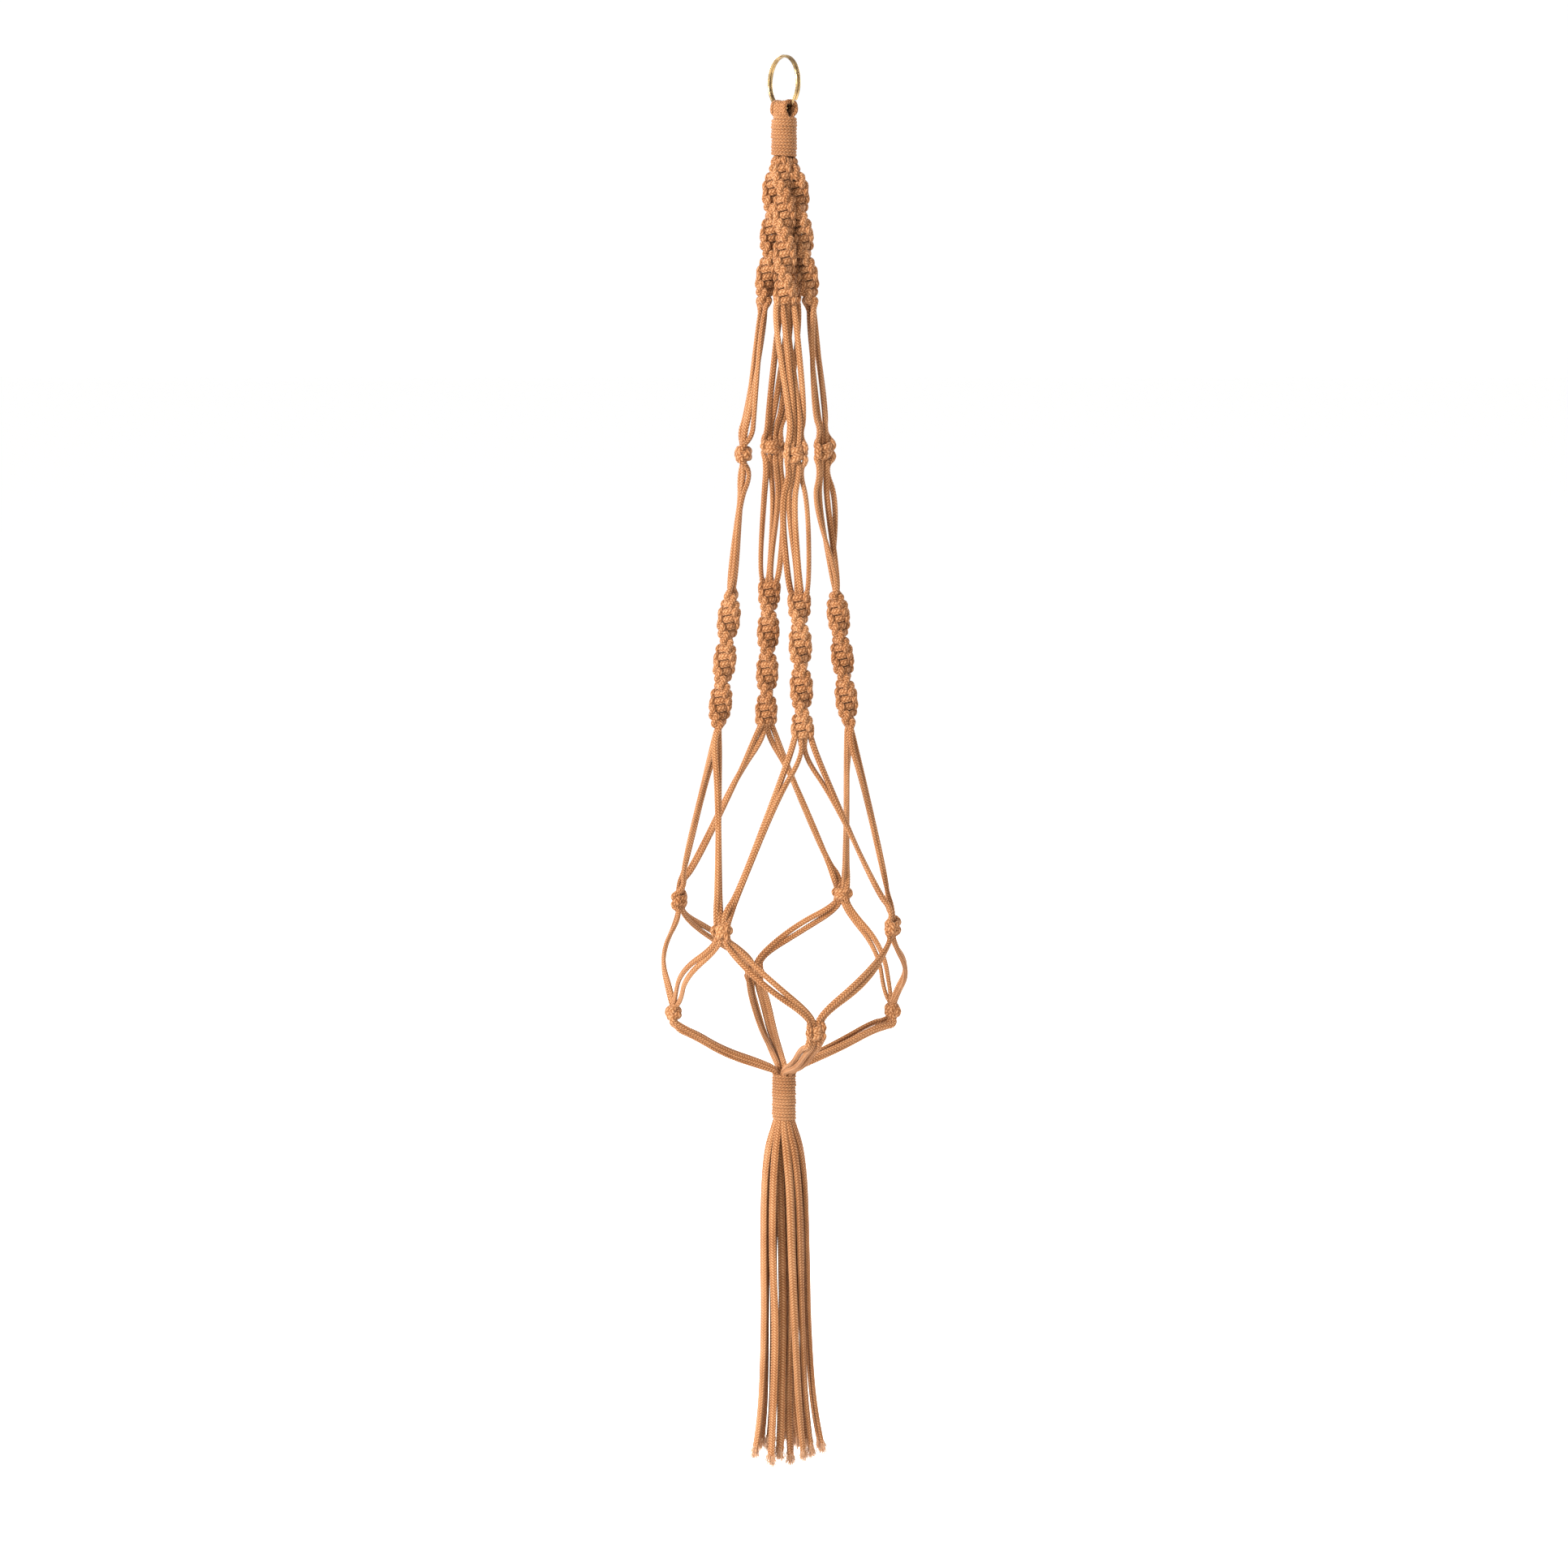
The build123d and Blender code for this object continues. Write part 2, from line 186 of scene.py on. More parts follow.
def carried_sides(tangents):
    """Unit vectors across a line, carried along it without twisting."""
    sides = np.empty_like(tangents)
    side = np.cross(tangents[0], (0.31, 0.87, 0.38))
    for index, tangent in enumerate(tangents):
        side = side - tangent * side.dot(tangent)
        side = side / sqrt(side.dot(side))
        sides[index] = side
    return sides


def braid_height(angle, along):
    """How proud the braid's yarns stand, 0 to 1. Each yarn floats over two, then runs under two."""
    first = BRAID_YARNS * angle / (2 * pi) + along / BRAID_PITCH
    second = BRAID_YARNS * angle / (2 * pi) - along / BRAID_PITCH
    first_over = (np.floor(first) + np.floor(second)) % 4 < 2
    across = np.sin(pi * (np.where(first_over, first, second) % 1))
    first_float = ((np.floor(first) + second) % 4) / 2
    second_float = ((np.floor(second) + first) % 4) / 2 - 1
    length = np.sin(pi * np.where(first_over, first_float, second_float))
    return np.sqrt(across) * (0.45 + 0.55 * length)


class Tubes:
    """Collects tubes of cord, then makes one mesh of them."""

    def __init__(self):
        self.vertices = []
        self.faces = []
        self.uvs = []
        self.tints = []
        self.count = 0

    def add(self, points, width=CORD, thickness=None, facing=None, relief=BRAID_RELIEF, sides=SIDES):
        """A tube along points: width across, thickness along facing. Both may change along it."""
        points = np.asarray(points, float)
        size = len(points)
        thickness = width if thickness is None else thickness
        half_width = np.broadcast_to(np.asarray(width, float) / 2, (size,))[:, None, None]
        half_depth = np.broadcast_to(np.asarray(thickness, float) / 2, (size,))[:, None, None]
        tangents = np.gradient(points, axis=0)
        tangents /= np.linalg.norm(tangents, axis=1)[:, None]
        if facing is None:
            normals = carried_sides(tangents)
        else:
            facing = np.broadcast_to(np.asarray(facing, float), points.shape)
            normals = facing - tangents * np.sum(facing * tangents, axis=1)[:, None]
            normals /= np.linalg.norm(normals, axis=1)[:, None]
        across = np.cross(tangents, normals)
        along = np.concatenate([[0.0], np.cumsum(np.linalg.norm(np.diff(points, axis=0), axis=1))])
        along = along + rng.uniform(0, 20)
        angle = np.linspace(0, 2 * pi, sides, endpoint=False)
        raised = (relief * (braid_height(angle[None, :], along[:, None]) - 0.6))[:, :, None]
        wave = np.cos(angle)[None, :, None]
        lift = np.sin(angle)[None, :, None]
        ring = points[:, None, :] + across[:, None, :] * wave * (half_width + raised)
        ring = ring + normals[:, None, :] * lift * (half_depth + raised)
        row, column = np.meshgrid(np.arange(size - 1), np.arange(sides), indexing="ij")
        after = (column + 1) % sides
        this_row, next_row = row * sides, (row + 1) * sides
        corners = [this_row + column, next_row + column, next_row + after, this_row + after]
        quads = np.stack(corners, axis=-1).reshape(-1, 4)
        u_low, u_high = column / sides, (column + 1) / sides
        v_low, v_high = along[row] / BRAID_PITCH, along[row + 1] / BRAID_PITCH
        uv = np.stack([u_low, v_low, u_low, v_high, u_high, v_high, u_high, v_low], axis=-1).reshape(-1, 2)
        last = (size - 1) * sides
        ends = [list(range(sides)), [last + index for index in range(sides - 1, -1, -1)]]
        self.vertices.append(ring.reshape(-1, 3))
        self.faces.extend((quads + self.count).tolist())
        self.uvs.append(uv)
        for end in ends:
            self.faces.append([self.count + index for index in end])
            self.uvs.append(np.tile([0.5, along[0] / BRAID_PITCH], (sides, 1)))
        self.tints.append(np.full(size * sides, rng.uniform(-1, 1)))
        self.count += size * sides

    def make(self, name, material):
        """One object, in metres, with a UV map along the cord and a tint for each cord."""
        mesh = bpy.data.meshes.new(name)
        mesh.from_pydata(np.concatenate(self.vertices) * MM, [], self.faces)
        layer = mesh.uv_layers.new(name="cord")
        layer.data.foreach_set("uv", np.concatenate(self.uvs).astype(np.float32).ravel())
        tint = mesh.attributes.new("tint", "FLOAT", "POINT")
        tint.data.foreach_set("value", np.concatenate(self.tints).astype(np.float32))
        mesh.polygons.foreach_set("use_smooth", np.ones(len(mesh.polygons), bool))
        mesh.materials.append(material)
        piece = bpy.data.objects.new(name, mesh)
        bpy.context.collection.objects.link(piece)
        return piece


# ---------------------------------------------------------------- materials
def math(nodes, links, operation, first, second=None, third=None):
    """A math node on sockets or numbers."""
    node = nodes.new("ShaderNodeMath")
    node.operation = operation
    for socket, value in zip(node.inputs, (first, second, third)):
        if isinstance(value, (int, float)):
            socket.default_value = value
        elif value is not None:
            links.new(value, socket)
    return node.outputs[0]


def cotton_material():
    """Braided cotton: two sets of yarns over and under, with fibres along each yarn, and painted shade in the
    grooves between yarns.
    """
    material = bpy.data.materials.new("cotton_cord")
    material.use_nodes = True
    nodes, links = material.node_tree.nodes, material.node_tree.links
    shader = nodes["Principled BSDF"]
    uv = nodes.new("ShaderNodeUVMap")
    uv.uv_map = "cord"
    split = nodes.new("ShaderNodeSeparateXYZ")
    links.new(uv.outputs["UV"], split.inputs[0])

    def calc(operation, *values):
        return math(nodes, links, operation, *values)

    around = calc("MULTIPLY", split.outputs["X"], float(BRAID_YARNS))
    first = calc("ADD", around, split.outputs["Y"])
    second = calc("SUBTRACT", around, split.outputs["Y"])
    cell = calc("ADD", calc("FLOOR", first), calc("FLOOR", second))
    second_over = calc("GREATER_THAN", calc("FLOORED_MODULO", cell, 4.0), 1.5)

    def choose(when_first, when_second):
        node = nodes.new("ShaderNodeMix")
        links.new(second_over, node.inputs[0])
        links.new(when_first, node.inputs[2])
        links.new(when_second, node.inputs[3])
        return node.outputs[0]

    first_float = calc("FLOORED_MODULO", calc("ADD", calc("FLOOR", first), second), 4.0)
    first_float = calc("MULTIPLY", first_float, 0.5)
    second_float = calc("FLOORED_MODULO", calc("ADD", calc("FLOOR", second), first), 4.0)
    second_float = calc("MULTIPLY_ADD", second_float, 0.5, -1.0)
    across = calc("SINE", calc("MULTIPLY", calc("FLOORED_MODULO", choose(first, second), 1.0), pi))
    length = calc("SINE", calc("MULTIPLY", choose(first_float, second_float), pi))
    bulge = calc("MULTIPLY_ADD", calc("MAXIMUM", length, 0.0), 0.55, 0.45)
    height = calc("MULTIPLY", calc("SQRT", calc("MAXIMUM", across, 0.0)), bulge)

    fibre_across = choose(first, second)
    fibre_along = choose(second, first)
    fibre_place = nodes.new("ShaderNodeCombineXYZ")
    links.new(calc("MULTIPLY", fibre_across, 7.0), fibre_place.inputs[0])
    links.new(calc("MULTIPLY", fibre_along, 0.9), fibre_place.inputs[1])
    links.new(calc("MULTIPLY", cell, 3.7), fibre_place.inputs[2])
    fibre = nodes.new("ShaderNodeTexNoise")
    fibre.inputs["Scale"].default_value = 1.0
    fibre.inputs["Detail"].default_value = 2.0
    links.new(fibre_place.outputs[0], fibre.inputs["Vector"])

    place = nodes.new("ShaderNodeTexCoord")
    drift = nodes.new("ShaderNodeTexNoise")
    drift.inputs["Scale"].default_value = 38.0
    drift.inputs["Detail"].default_value = 3.0
    links.new(place.outputs["Object"], drift.inputs["Vector"])
    tint = nodes.new("ShaderNodeAttribute")
    tint.attribute_name = "tint"

    # Painted shade: the tone follows the braid's height, so the grooves between yarns, where shade falls, are
    # coloured darker. Fibre, drift and tint add random tone.
    tone = calc("MULTIPLY", height, 0.66)
    tone = calc("MULTIPLY_ADD", fibre.outputs["Fac"], 0.30, tone)
    tone = calc("MULTIPLY_ADD", drift.outputs["Fac"], 0.40, tone)
    tone = calc("MULTIPLY_ADD", tint.outputs["Fac"], 0.05, tone)
    # The ramp is painted light and shade: its dark, saturated end colours the grooves as shadowed, and its
    # pale, less saturated end colours the yarn tops as lit.
    ramp = nodes.new("ShaderNodeValToRGB")
    ramp.color_ramp.elements[0].position = 0.36
    ramp.color_ramp.elements[0].color = (0.082, 0.022, 0.005, 1)
    ramp.color_ramp.elements[1].position = 1.0
    ramp.color_ramp.elements[1].color = (0.41, 0.205, 0.095, 1)
    middle = ramp.color_ramp.elements.new(0.68)
    middle.color = (0.25, 0.094, 0.029, 1)
    links.new(tone, ramp.inputs[0])
    links.new(ramp.outputs[0], shader.inputs["Base Color"])

    relief = calc("MULTIPLY_ADD", fibre.outputs["Fac"], 0.35, height)
    bump = nodes.new("ShaderNodeBump")
    bump.inputs["Strength"].default_value = 0.9
    bump.inputs["Distance"].default_value = 0.0006
    links.new(relief, bump.inputs["Height"])
    links.new(bump.outputs[0], shader.inputs["Normal"])
    roughness = calc("MULTIPLY_ADD", fibre.outputs["Fac"], 0.18, 0.72)
    links.new(roughness, shader.inputs["Roughness"])
    shader.inputs["Sheen Weight"].default_value = 0.12
    shader.inputs["Sheen Roughness"].default_value = 0.45
    shader.inputs["Sheen Tint"].default_value = (1.0, 0.86, 0.70, 1)
    shader.inputs["Specular IOR Level"].default_value = 0.15
    return material


def fray_material():
    """Loose cotton fibres, paler than the braid."""
    material = bpy.data.materials.new("cotton_fray")
    material.use_nodes = True
    nodes, links = material.node_tree.nodes, material.node_tree.links
    shader = nodes["Principled BSDF"]
    tint = nodes.new("ShaderNodeAttribute")
    tint.attribute_name = "tint"
    place = nodes.new("ShaderNodeTexCoord")
    drift = nodes.new("ShaderNodeTexNoise")
    drift.inputs["Scale"].default_value = 420.0
    links.new(place.outputs["Object"], drift.inputs["Vector"])
    tone = math(nodes, links, "MULTIPLY_ADD", tint.outputs["Fac"], 0.3, 0.0)
    tone = math(nodes, links, "ADD", tone, drift.outputs["Fac"])
    ramp = nodes.new("ShaderNodeValToRGB")
    ramp.color_ramp.elements[0].position = 0.1
    ramp.color_ramp.elements[0].color = (0.34, 0.15, 0.058, 1)
    ramp.color_ramp.elements[1].position = 0.9
    ramp.color_ramp.elements[1].color = (0.62, 0.36, 0.20, 1)
    links.new(tone, ramp.inputs[0])
    links.new(ramp.outputs[0], shader.inputs["Base Color"])
    shader.inputs["Roughness"].default_value = 0.8
    shader.inputs["Sheen Weight"].default_value = 0.2
    return material


def brass_material():
    """Antique brass: lighter and browner patches, which also vary in roughness."""
    material = bpy.data.materials.new("ring_brass")
    material.use_nodes = True
    nodes, links = material.node_tree.nodes, material.node_tree.links
    shader = nodes["Principled BSDF"]
    place = nodes.new("ShaderNodeTexCoord")
    patina = nodes.new("ShaderNodeTexNoise")
    patina.inputs["Scale"].default_value = 170.0
    patina.inputs["Detail"].default_value = 4.0
    links.new(place.outputs["Object"], patina.inputs["Vector"])
    ramp = nodes.new("ShaderNodeValToRGB")
    ramp.color_ramp.elements[0].position = 0.35
    ramp.color_ramp.elements[0].color = (0.16, 0.095, 0.045, 1)
    ramp.color_ramp.elements[1].position = 0.68
    ramp.color_ramp.elements[1].color = (0.48, 0.33, 0.15, 1)
    links.new(patina.outputs["Fac"], ramp.inputs[0])
    links.new(ramp.outputs[0], shader.inputs["Base Color"])
    rough = math(nodes, links, "MULTIPLY_ADD", patina.outputs["Fac"], 0.22, 0.14)
    links.new(rough, shader.inputs["Roughness"])
    fine = nodes.new("ShaderNodeTexNoise")
    fine.inputs["Scale"].default_value = 900.0
    fine.inputs["Detail"].default_value = 2.0
    links.new(place.outputs["Object"], fine.inputs["Vector"])
    bump = nodes.new("ShaderNodeBump")
    bump.inputs["Strength"].default_value = 0.08
    bump.inputs["Distance"].default_value = 0.0002
    links.new(fine.outputs["Fac"], bump.inputs["Height"])
    links.new(bump.outputs[0], shader.inputs["Normal"])
    shader.inputs["Metallic"].default_value = 1.0
    return material


add_camera()
cotton = cotton_material()
fray = fray_material()
brass = brass_material()

# ---------------------------------------------------------------- tassel
TASSEL_WIDTH = 6.2
TASSEL_THICKNESS = 3.8
MOUTH_WIDTH = 4.6
MOUTH_THICKNESS = 3.6
FRAY_FIBRES = 170
TASSEL_ROUTES = [
    [(-4.6, -2.6, -770), (-7.3, -4.2, -780.5), (-11.6, -6.0, -796), (-14.4, -7.0, -826), (-15.0, -7.8, -876),
     (-14.6, -8.2, -928), (-16.6, -7.6, -980), (-19.0, -7.4, -1012), (-21.6, -7.0, -1029)],
    [(-2.6, -4.6, -770), (-4.2, -7.3, -780.5), (-6.6, -11.3, -796), (-8.4, -12.8, -826), (-8.8, -13.4, -876),
     (-6.2, -13.0, -928), (-7.4, -12.6, -980), (-8.8, -12.8, -1012), (-9.6, -13.0, -1033)],
    [(0.0, -5.3, -770), (0.0, -8.4, -780.5), (2.2, -12.8, -796), (4.6, -14.6, -826), (5.8, -15.0, -876),
     (8.2, -14.4, -928), (10.4, -13.6, -980), (12.8, -13.4, -1012), (14.4, -12.8, -1029)],
    [(2.6, -4.6, -770), (4.2, -7.3, -780.5), (8.0, -10.4, -796), (11.2, -11.0, -826), (12.2, -10.6, -876),
     (13.6, -9.4, -928), (15.6, -8.8, -980), (18.6, -8.0, -1012), (20.4, -7.8, -1028)],
    [(4.6, -2.6, -770), (7.3, -4.2, -780.5), (12.6, -5.2, -796), (16.2, -5.0, -826), (17.6, -4.2, -876),
     (18.6, -3.8, -928), (21.4, -3.2, -980), (25.6, -2.6, -1012), (28.6, -2.0, -1027)],
    [(5.3, 0.0, -770), (8.4, 0.0, -780.5), (13.2, 1.2, -796), (16.4, 2.2, -826), (17.4, 3.4, -876),
     (17.2, 4.6, -928), (19.6, 5.4, -980), (23.4, 6.2, -1012), (26.8, 7.0, -1029)],
    [(4.6, 2.6, -770), (7.3, 4.2, -780.5), (10.8, 7.6, -796), (12.6, 9.8, -826), (12.8, 10.8, -876),
     (13.6, 11.4, -928), (15.0, 12.4, -980), (16.6, 13.4, -1012), (17.8, 14.6, -1030)],
    [(2.6, 4.6, -770), (4.2, 7.3, -780.5), (5.8, 11.6, -796), (7.0, 14.2, -826), (8.4, 15.0, -876),
     (8.8, 15.8, -928), (8.0, 16.8, -980), (8.6, 18.2, -1012), (9.6, 19.4, -1031)],
    [(0.0, 5.3, -770), (0.0, 8.4, -780.5), (0.0, 13.2, -796), (0.4, 15.4, -826), (-0.4, 16.4, -876),
     (0.4, 17.0, -928), (1.0, 18.6, -980), (0.6, 20.2, -1012), (-0.6, 21.4, -1028)],
    [(-2.6, 4.6, -770), (-4.2, 7.3, -780.5), (-5.8, 11.6, -796), (-7.4, 13.6, -826), (-8.4, 14.2, -876),
     (-7.6, 15.2, -928), (-8.2, 16.8, -980), (-9.0, 18.0, -1012), (-10.6, 19.0, -1031)],
    [(-4.6, 2.6, -770), (-7.3, 4.2, -780.5), (-11.2, 6.8, -796), (-13.4, 8.0, -826), (-13.0, 9.4, -876),
     (-13.8, 9.8, -928), (-14.2, 11.2, -980), (-15.4, 12.2, -1012), (-17.2, 13.2, -1030)],
    [(-5.3, 0.0, -770), (-8.4, 0.0, -780.5), (-13.0, 0.4, -796), (-15.6, 0.8, -826), (-16.2, 1.8, -876),
     (-15.4, 1.4, -928), (-16.8, 2.6, -980), (-18.2, 3.0, -1012), (-19.6, 4.2, -1028)],
    [(-1.6, -1.6, -770), (-2.2, -2.2, -780.5), (-3.0, -4.4, -796), (-2.6, -6.6, -826), (-1.6, -8.0, -876),
     (-0.8, -8.6, -928), (-2.0, -9.2, -980), (-2.4, -8.6, -1012), (-3.2, -8.0, -1031)],
    [(1.6, -1.6, -770), (2.2, -2.2, -780.5), (4.2, -3.4, -796), (6.0, -3.6, -826), (6.6, -4.6, -876),
     (6.2, -5.6, -928), (4.4, -5.0, -980), (4.2, -4.0, -1012), (4.8, -3.4, -1036)],
    [(-1.6, 1.6, -770), (-2.2, 2.2, -780.5), (-4.2, 3.4, -796), (-6.2, 3.6, -826), (-7.2, 2.6, -876),
     (-7.8, 3.6, -928), (-7.2, 4.4, -980), (-8.6, 5.2, -1012), (-10.2, 5.4, -1029)],
    [(1.6, 1.6, -770), (2.2, 2.2, -780.5), (3.4, 4.2, -796), (3.8, 6.4, -826), (4.8, 7.4, -876),
     (5.0, 6.8, -928), (6.2, 8.4, -980), (8.4, 9.0, -1012), (11.4, 9.6, -1028)],
]


def add_fray(name, end, heading, across):
    """A tuft of loose fibres that fans out from the end of a strand."""
    tuft = Tubes()
    out = np.cross(heading, across)
    for _ in range(FRAY_FIBRES):
        spread = rng.normal(0, 1, 2) * 0.5
        start = end + across * spread[0] * 2.3 + out * spread[1] * 1.3 - heading * rng.uniform(2.0, 4.5)
        reach = rng.uniform(7.5, 12.5)
        lean = across * (spread[0] * 2.6 + rng.normal(0, 0.7)) + out * (spread[1] * 2.0 + rng.normal(0, 0.7))
        curl = across * rng.normal(0, 0.9) + out * rng.normal(0, 0.9)
        steps = np.linspace(0, 1, 7)[:, None]
        line = start + heading * reach * steps + lean * steps**1.5 + curl * np.sin(pi * steps * 1.3) * steps
        tuft.add(line, width=np.linspace(0.42, 0.2, 7), relief=0.0, sides=4)
    return tuft.make(name, fray)


def add_tassel():
    """Sixteen flat free ends with frayed tips, each from inside the bottom wrap."""
    for number, route in enumerate(TASSEL_ROUTES, start=1):
        points = spline_points(route, spacing=0.75)
        facing = points * np.array([1.0, 1.0, 0.0])
        twist = radians(rng.uniform(-16, 16)) * np.linspace(0, 1, len(points))
        turned = np.stack([
            facing[:, 0] * np.cos(twist) - facing[:, 1] * np.sin(twist),
            facing[:, 0] * np.sin(twist) + facing[:, 1] * np.cos(twist),
            np.zeros(len(points)),
        ], axis=1)
        steps = np.clip((points[0, 2] - points[:, 2] - 4) / 22, 0, 1)
        width = MOUTH_WIDTH + (TASSEL_WIDTH - MOUTH_WIDTH) * steps
        depth = MOUTH_THICKNESS + (TASSEL_THICKNESS - MOUTH_THICKNESS) * steps
        strand = Tubes()
        strand.add(points, width=width, thickness=depth, facing=turned)
        piece = strand.make(f"tassel_strand_{number:02d}_braid", cotton)
        heading = unit(points[-1] - points[-6])
        across = unit(np.cross(heading, turned[-1]))
        tuft = add_fray(f"tassel_fray_{number:02d}", points[-1], heading, across)
        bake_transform(piece)
        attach(tuft, "tassel")
        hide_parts(f"tassel_strand_{number:02d}")


add_tassel()


# ---------------------------------------------------------------- sinnets
# A working end swings half a width to each side, stands proud in front, tucks behind, and rises
# and falls as it loops. Squaring makes its bars straighter.
SPIRAL_HALF_WIDTH = 6.5
SPIRAL_FRONT = 1.15
SPIRAL_TUCK = 2.0
SPIRAL_LOOP = 2.3
SPIRAL_FILLER = 2.0
SPIRAL_SQUARE = 0.11

# The upper sinnets start narrow and half a knot up, inside the wrap, and widen over two half knots.
UPPER_NECK = 0.5
UPPER_LEAD = 0.5
NECK_END = 2.2 * pi


def spiral_point(axis, place, psi, side, top, half_turn, phase_height, neck):
    """Points of a working end of a half-knot spiral. psi grows by pi with each half knot."""
    _, around, outward = place
    width = SPIRAL_HALF_WIDTH * (neck + (1 - neck) * np.clip(psi / NECK_END, 0, 1) ** 0.7)
    sweep = (np.cos(psi) - SPIRAL_SQUARE * np.cos(3 * psi)) / (1 - SPIRAL_SQUARE)
    across = -width * sweep * side
    front = (SPIRAL_FRONT * np.sin(psi) - SPIRAL_TUCK * np.sin(3 * psi)) * side
    depth = HALF_KNOT * psi / pi
    height = top - depth - SPIRAL_LOOP * np.sin(2 * psi)
    turn = pi * (phase_height - (top - depth)) / half_turn
    return spiral_place(axis, around, outward, across, front, height, turn)


def spiral_place(axis, around, outward, across, front, height, turn):
    """A point from its offsets across and in front of the spiral's own turned frame."""
    side_way = np.cos(turn)[:, None] * around - np.sin(turn)[:, None] * outward
    front_way = np.sin(turn)[:, None] * around + np.cos(turn)[:, None] * outward
    centre = axis(height)
    return centre + side_way * across[:, None] + front_way * front[:, None]


def sinnet_lines(axis, place, top, bottom, half_turn, phase_height, neck=1.0, lead=0.08):
    """The four lines of a sinnet: two working ends and two fillers, from top to bottom."""
    knots = round((top - bottom) / HALF_KNOT)
    steps = np.linspace(-lead * pi, (knots + 0.08) * pi, knots * 28)
    working = [spiral_point(axis, place, steps, side, top, half_turn, phase_height, neck) for side in (1, -1)]
    _, around, outward = place
    height = np.linspace(top + 3, bottom - 3, 140)
    turn = pi * (phase_height - height) / half_turn
    fillers = []
    for side in (-1, 1):
        across = np.full(len(height), side * SPIRAL_FILLER)
        fillers.append(spiral_place(axis, around, outward, across, across * 0, height, turn))
    return working, fillers, steps


def make_sinnet(name, lines, axis):
    """The cords of one sinnet, squeezed flatter where they cross its front and back."""
    working, fillers, steps = lines
    cords = Tubes()
    bar = np.abs(np.sin(steps)) ** 1.5
    ease = np.clip(np.minimum(steps - steps[0], steps[-1] - steps) / 1.2, 0, 1)
    width = CORD + (4.1 + 1.1 * bar - CORD) * ease
    depth = CORD + (3.9 - 0.7 * bar - CORD) * ease
    for line in working:
        cords.add(line, width=width, thickness=depth, facing=line - axis(line[:, 2]))
    for line in fillers:
        cords.add(line, width=3.8)
    piece = cords.make(f"{name}_cords", cotton)
    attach(piece, "harness")
    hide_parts(name)


def ends_of(lines, low):
    """Where the four cords of a sinnet leave it, and which way they head."""
    working, fillers, _ = lines
    found = []
    for line in working + fillers:
        if low:
            found.append((line[-1], unit(line[-1] - line[-3])))
        else:
            found.append((line[0], unit(line[0] - line[2])))
    return found


# ---------------------------------------------------------------- square knots
# Control points of a square knot's two working ends: across, out and down, as shares of its size.
FRONT_END = [
    (-0.85, 0.15, -1.25), (-0.92, -0.10, -0.85), (-0.85, -0.40, -0.35), (-0.40, 1.25, -0.22),
    (0.35, 1.30, -0.62), (0.85, -0.35, -0.50), (1.15, -0.50, -0.10), (0.85, -0.35, 0.20),
    (0.40, 1.30, 0.12), (-0.35, 1.25, 0.62), (-0.85, -0.40, 0.60), (-0.92, -0.10, 0.85), (-0.85, 0.15, 1.25),
]
BACK_END = [
    (0.85, -0.15, -1.25), (0.98, 0.60, -0.95), (1.02, 0.90, -0.40), (0.45, -1.25, -0.25),
    (-0.45, -1.25, -0.45), (-0.95, 0.85, -0.52), (-1.20, 1.05, 0.05), (-0.95, 0.85, 0.50),
    (-0.45, -1.25, 0.35), (0.45, -1.25, 0.25), (1.02, 0.90, 0.35), (0.98, 0.60, 0.95), (0.85, -0.15, 1.25),
]
FILLER_ENDS = [(-0.30, 0.0, -1.25), (-0.30, 0.0, -0.5), (-0.30, 0.0, 0.5), (-0.30, 0.0, 1.25)]


def knot_lines(place, half_width, half_depth, half_height):
    """The lines of a square knot, in order across it: front end, two fillers, back end."""
    lines = []
    mirrored = [(-a, b, c) for a, b, c in FILLER_ENDS]
    for shares in (FRONT_END, FILLER_ENDS, mirrored, BACK_END):
        controls = [at(place, a * half_width, b * half_depth, -c * half_height) for a, b, c in shares]
        lines.append(spline_points(controls, spacing=0.6))
    return lines


def make_knot(name, place, lines):
    cords = Tubes()
    origin, _, _ = place
    for index, line in enumerate(lines):
        share = np.linspace(0, 1, len(line))
        ease = np.clip(np.minimum(share, 1 - share) / 0.18, 0, 1)
        if index in (1, 2):
            cords.add(line, width=CORD - 0.6 * ease)
        else:
            facing = line - origin
            facing[:, 2] = 0
            cords.add(line, width=CORD + 1.4 * ease, thickness=CORD - 0.3 * ease, facing=facing)
    piece = cords.make(f"{name}_cords", cotton)
    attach(piece, "harness")
    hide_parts(name)


def knot_ends(lines, low):
    found = []
    for line in lines:
        if low:
            found.append((line[-1], unit(line[-1] - line[-3])))
        else:
            found.append((line[0], unit(line[0] - line[2])))
    return found


# ---------------------------------------------------------------- free runs between knots
def run_line(start, finish, through=(), lead=7.0):
    """A taut run that leaves one end and enters another along their own directions."""
    (begin, way_out), (stop, way_in) = start, finish
    leaving = [begin - way_out, begin + way_out * lead]
    entering = [stop + way_in * lead, stop - way_in]
    return spline_points([*leaving, *through, *entering])


def bowed_runs(starts, finishes, share, bows):
    """Taut runs that each bow to one side, most at a share of their length."""
    lines = []
    for start, finish, bow in zip(starts, finishes, bows):
        middle = start[0] + (finish[0] - start[0]) * share + np.array([bow, 0.0, 0.0])
        lines.append(run_line(start, finish, through=[middle]))
    return lines


def in_order(ends, direction):
    return sorted(ends, key=lambda end: float(np.dot(end[0], direction)))


def twisted_facing(line):
    """Directions that face outward, then turn a little to one side along a slightly flat cord."""
    outward = line * np.array([1.0, 1.0, 0.0])
    outward /= np.linalg.norm(outward, axis=1)[:, None]
    around = np.cross(UP, outward)
    turn = np.linspace(rng.uniform(-1.1, 1.1), rng.uniform(-1.1, 1.1), len(line))[:, None]
    return outward * np.cos(turn) + around * np.sin(turn)


def make_strands(name, lines, body="harness"):
    cords = Tubes()
    for line in lines:
        cords.add(line, width=TAUT_WIDTH, thickness=TAUT_THICKNESS, facing=twisted_facing(line))
    piece = cords.make(f"{name}_cords", cotton)
    if body is not None:
        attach(piece, body)
    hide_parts(name)
    return piece


